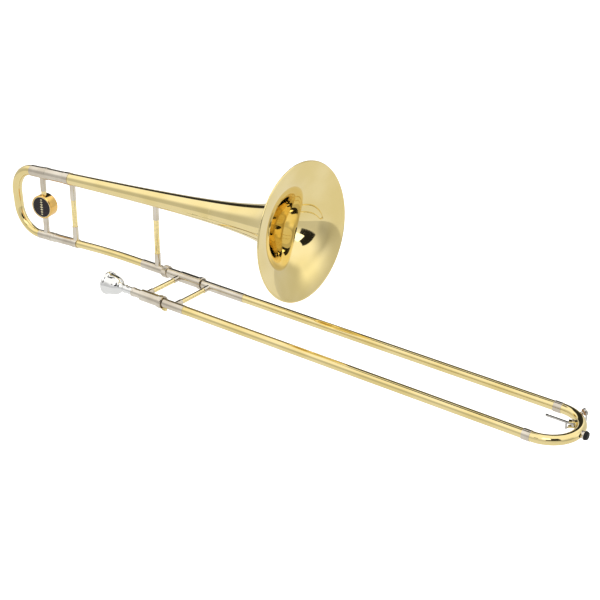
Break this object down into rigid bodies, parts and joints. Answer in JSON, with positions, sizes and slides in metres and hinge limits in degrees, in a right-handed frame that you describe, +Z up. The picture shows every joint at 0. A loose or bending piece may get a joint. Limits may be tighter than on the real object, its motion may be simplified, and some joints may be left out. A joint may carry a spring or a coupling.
{
  "type": "trombone",
  "caption": "Tenor slide trombone with a long U-shaped hand slide, a flared bell section with a tuning slide and counterweight, and a cup mouthpiece.",
  "frame": {"origin": "middle of the hand brace of the inner slide, where the left hand holds it", "axes": "+X along the slide towards the bow, +Y towards the bell-side slide tube, +Z up towards the bell"},
  "size_m": [1.1335, 0.2154, 0.2685],
  "materials": {
    "silver_plate": "polished silver plate",
    "nickel_silver": "polished nickel silver under clear lacquer",
    "chromed_tube": "bright chrome plate",
    "plain_brass": "plain brass",
    "lacquered_brass": "polished yellow brass under clear lacquer",
    "gold_lacquer_weight": "polished, deeper gold lacquer",
    "black_enamel": "black enamel with a light border",
    "cork": "natural cork",
    "black_rubber": "soft black rubber",
    "steel": "nickel-plated steel"
  },
  "bodies": {
    "inner_slide": {"mouthpiece_receiver": "nickel_silver", "leadpipe": "plain_brass", "inner_tube_mouthpiece_side": "chromed_tube", "stocking_mouthpiece_side": "chromed_tube", "cork_barrel_mouthpiece_side": "nickel_silver", "cork_mouthpiece_side": "cork", "inner_tube_bell_side": "chromed_tube", "stocking_bell_side": "chromed_tube", "cork_barrel_bell_side": "nickel_silver", "cork_bell_side": "cork", "bell_receiver": "nickel_silver", "hand_brace": "lacquered_brass", "hand_brace_sockets": "nickel_silver"},
    "mouthpiece": {"mouthpiece": "silver_plate"},
    "slide_lock": {"slide_lock_ring": "nickel_silver"},
    "hand_slide": {"outer_tube_mouthpiece_side": "lacquered_brass", "grip_sleeve_mouthpiece_side": "nickel_silver", "bow_ferrule_mouthpiece_side": "nickel_silver", "outer_tube_bell_side": "lacquered_brass", "grip_sleeve_bell_side": "nickel_silver", "bow_ferrule_bell_side": "nickel_silver", "slide_brace": "lacquered_brass", "slide_brace_sockets": "nickel_silver", "lock_lug": "plain_brass", "slide_bow": "lacquered_brass", "bumper_holder": "nickel_silver", "rubber_bumper": "black_rubber", "water_key_saddle": "lacquered_brass", "water_key_screw": "steel", "water_key_spring": "steel", "water_key_nipple": "nickel_silver"},
    "water_key": {"water_key_lever": "steel", "water_key_cork": "cork"},
    "bell_section": {"bell_flare": "lacquered_brass", "bell_rim_wire": "plain_brass", "bell_stem": "lacquered_brass", "upper_tuning_sleeve": "nickel_silver", "lower_tuning_sleeve": "nickel_silver", "neckpipe": "lacquered_brass", "neck_tenon": "nickel_silver", "sleeve_brace": "lacquered_brass", "sleeve_brace_sockets": "nickel_silver", "bell_brace": "lacquered_brass", "bell_brace_sockets": "nickel_silver"},
    "bell_lock_nut": {"bell_lock_nut": "nickel_silver"},
    "tuning_slide": {"upper_inner_leg": "nickel_silver", "upper_crook_ferrule": "nickel_silver", "lower_inner_leg": "nickel_silver", "lower_crook_ferrule": "nickel_silver", "tuning_crook": "lacquered_brass", "tuning_brace": "lacquered_brass", "tuning_brace_sockets": "nickel_silver", "counterweight": "gold_lacquer_weight", "counterweight_emblem": "black_enamel", "counterweight_screw": "steel"}
  },
  "joints": [
    {"name": "hand_slide_travel", "type": "slide", "parent": "inner_slide", "child": "hand_slide", "axis": [1, 0, 0], "range_m": [0, 0.6]},
    {"name": "bell_swivel", "type": "hinge", "parent": "inner_slide", "child": "bell_section", "pos_m": [-0.03, 0.04465, 0], "axis": [1, 0, 0], "range_deg": [-90, 35]},
    {"name": "tuning_slide_travel", "type": "slide", "parent": "bell_section", "child": "tuning_slide", "axis": [-0.998, 0, -0.0628], "range_m": [0, 0.05]},
    {"name": "mouthpiece_pull", "type": "slide", "parent": "inner_slide", "child": "mouthpiece", "axis": [-1, 0, 0], "range_m": [0, 0.07]},
    {"name": "slide_lock_turn", "type": "hinge", "parent": "inner_slide", "child": "slide_lock", "pos_m": [0.038, -0.04465, 0], "axis": [1, 0, 0], "range_deg": [-20.5, 0]},
    {"name": "bell_lock_nut_turn", "type": "hinge", "parent": "bell_section", "child": "bell_lock_nut", "pos_m": [-0.0318, 0.04465, 0], "axis": [1, 0, 0], "continuous": true},
    {"name": "water_key_press", "type": "hinge", "parent": "hand_slide", "child": "water_key", "pos_m": [0.7128, 0.01624, 0], "axis": [0, 0, 1], "range_deg": [-12, 0], "stiffness_Nm_per_rad": 0.3, "springref_deg": 20.05}
  ]
}
